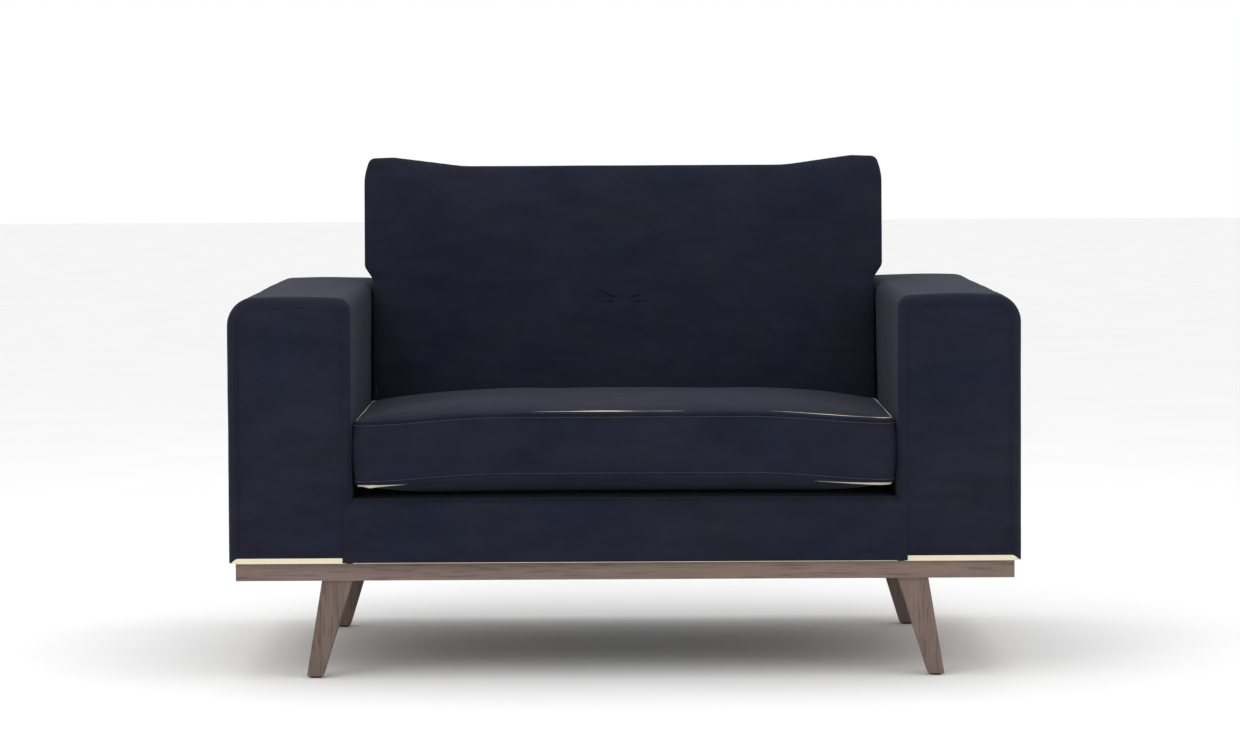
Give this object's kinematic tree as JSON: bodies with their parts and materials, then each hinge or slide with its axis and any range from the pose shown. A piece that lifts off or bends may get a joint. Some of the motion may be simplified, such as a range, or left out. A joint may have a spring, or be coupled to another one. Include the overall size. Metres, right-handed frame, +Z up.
{
  "type": "sofa with wooden legs",
  "caption": "Velvet loveseat with wide box arms, one loose seat cushion and one loose back cushion, on a slim wooden plinth with splayed tapered legs.",
  "frame": {"origin": "on the floor, at the centre of the sofa's footprint box", "axes": "+X to the right seen from the front, -Y is the front, +Z up"},
  "size_m": [1.3, 0.919, 0.8544],
  "materials": {
    "velvet": "matte",
    "walnut": "satin",
    "frame_timber": "matte",
    "plywood": "matte",
    "hardboard": "matte",
    "foam": "matte",
    "fibre": "matte",
    "felt": "matte",
    "webbing": "matte",
    "black_cloth": "matte",
    "zip_tape": "matte",
    "dark_metal": "satin",
    "zinc_steel": "satin",
    "spring_steel": "satin",
    "black_plastic": "matte"
  },
  "bodies": {
    "sofa_frame": {"plinth_front_rail": "walnut", "plinth_rear_rail": "walnut", "plinth_side_rail_left": "walnut", "plinth_side_rail_right": "walnut", "plinth_corner_blocks": "frame_timber", "leg_bearers": "frame_timber", "leg_front_left": "walnut", "leg_front_right": "walnut", "leg_rear_left": "walnut", "leg_rear_right": "walnut", "leg_bolts": "zinc_steel", "leg_tee_nuts": "zinc_steel", "foot_glides": "black_plastic", "dust_cover": "black_cloth", "seat_front_rail": "frame_timber", "seat_rear_rail": "frame_timber", "seat_side_rail_left": "frame_timber", "seat_side_rail_right": "frame_timber", "seat_centre_stretcher": "frame_timber", "seat_corner_blocks": "frame_timber", "seat_springs": "spring_steel", "spring_clips": "zinc_steel", "spring_tie_wires": "spring_steel", "seat_spring_pad": "felt", "seat_deck_cloth": "velvet", "apron_foam": "foam", "apron_cover": "velvet", "arm_cover_left": "velvet", "arm_foam_left": "foam", "arm_front_board_left": "plywood", "arm_rear_board_left": "plywood", "arm_top_board_left": "plywood", "arm_skins_left": "hardboard", "arm_bottom_rail_left": "frame_timber", "arm_posts_left": "frame_timber", "arm_cover_right": "velvet", "arm_foam_right": "foam", "arm_front_board_right": "plywood", "arm_rear_board_right": "plywood", "arm_top_board_right": "plywood", "arm_skins_right": "hardboard", "arm_bottom_rail_right": "frame_timber", "arm_posts_right": "frame_timber", "back_cover": "velvet", "back_foam": "foam", "back_rear_board": "hardboard", "back_posts": "plywood", "back_top_rails": "frame_timber", "back_lower_rails": "frame_timber", "back_webbing": "webbing", "arm_bolts": "zinc_steel", "back_bolts": "zinc_steel"},
    "seat_cushion": {"seat_cushion_cover": "velvet", "seat_cushion_core": "foam", "seat_cushion_zip": "zip_tape"},
    "back_cushion": {"back_cushion_cover": "velvet", "back_cushion_core": "fibre", "back_cushion_zip": "zip_tape"},
    "seat_zip": {"seat_zip_slider": "dark_metal"},
    "back_zip": {"back_zip_slider": "dark_metal"}
  },
  "joints": [
    {"name": "seat_cushion_lift", "type": "slide", "parent": "sofa_frame", "child": "seat_cushion", "axis": [0, 0, 1], "range_m": [0, 0.35]},
    {"name": "back_cushion_lift", "type": "slide", "parent": "sofa_frame", "child": "back_cushion", "axis": [0, 0.1736, 0.9848], "range_m": [0, 0.5]},
    {"name": "seat_zip_slide", "type": "slide", "parent": "seat_cushion", "child": "seat_zip", "axis": [-1, 0, 0], "range_m": [0, 0.6]},
    {"name": "back_zip_slide", "type": "slide", "parent": "back_cushion", "child": "back_zip", "axis": [-1, 0, 0], "range_m": [0, 0.6]}
  ]
}
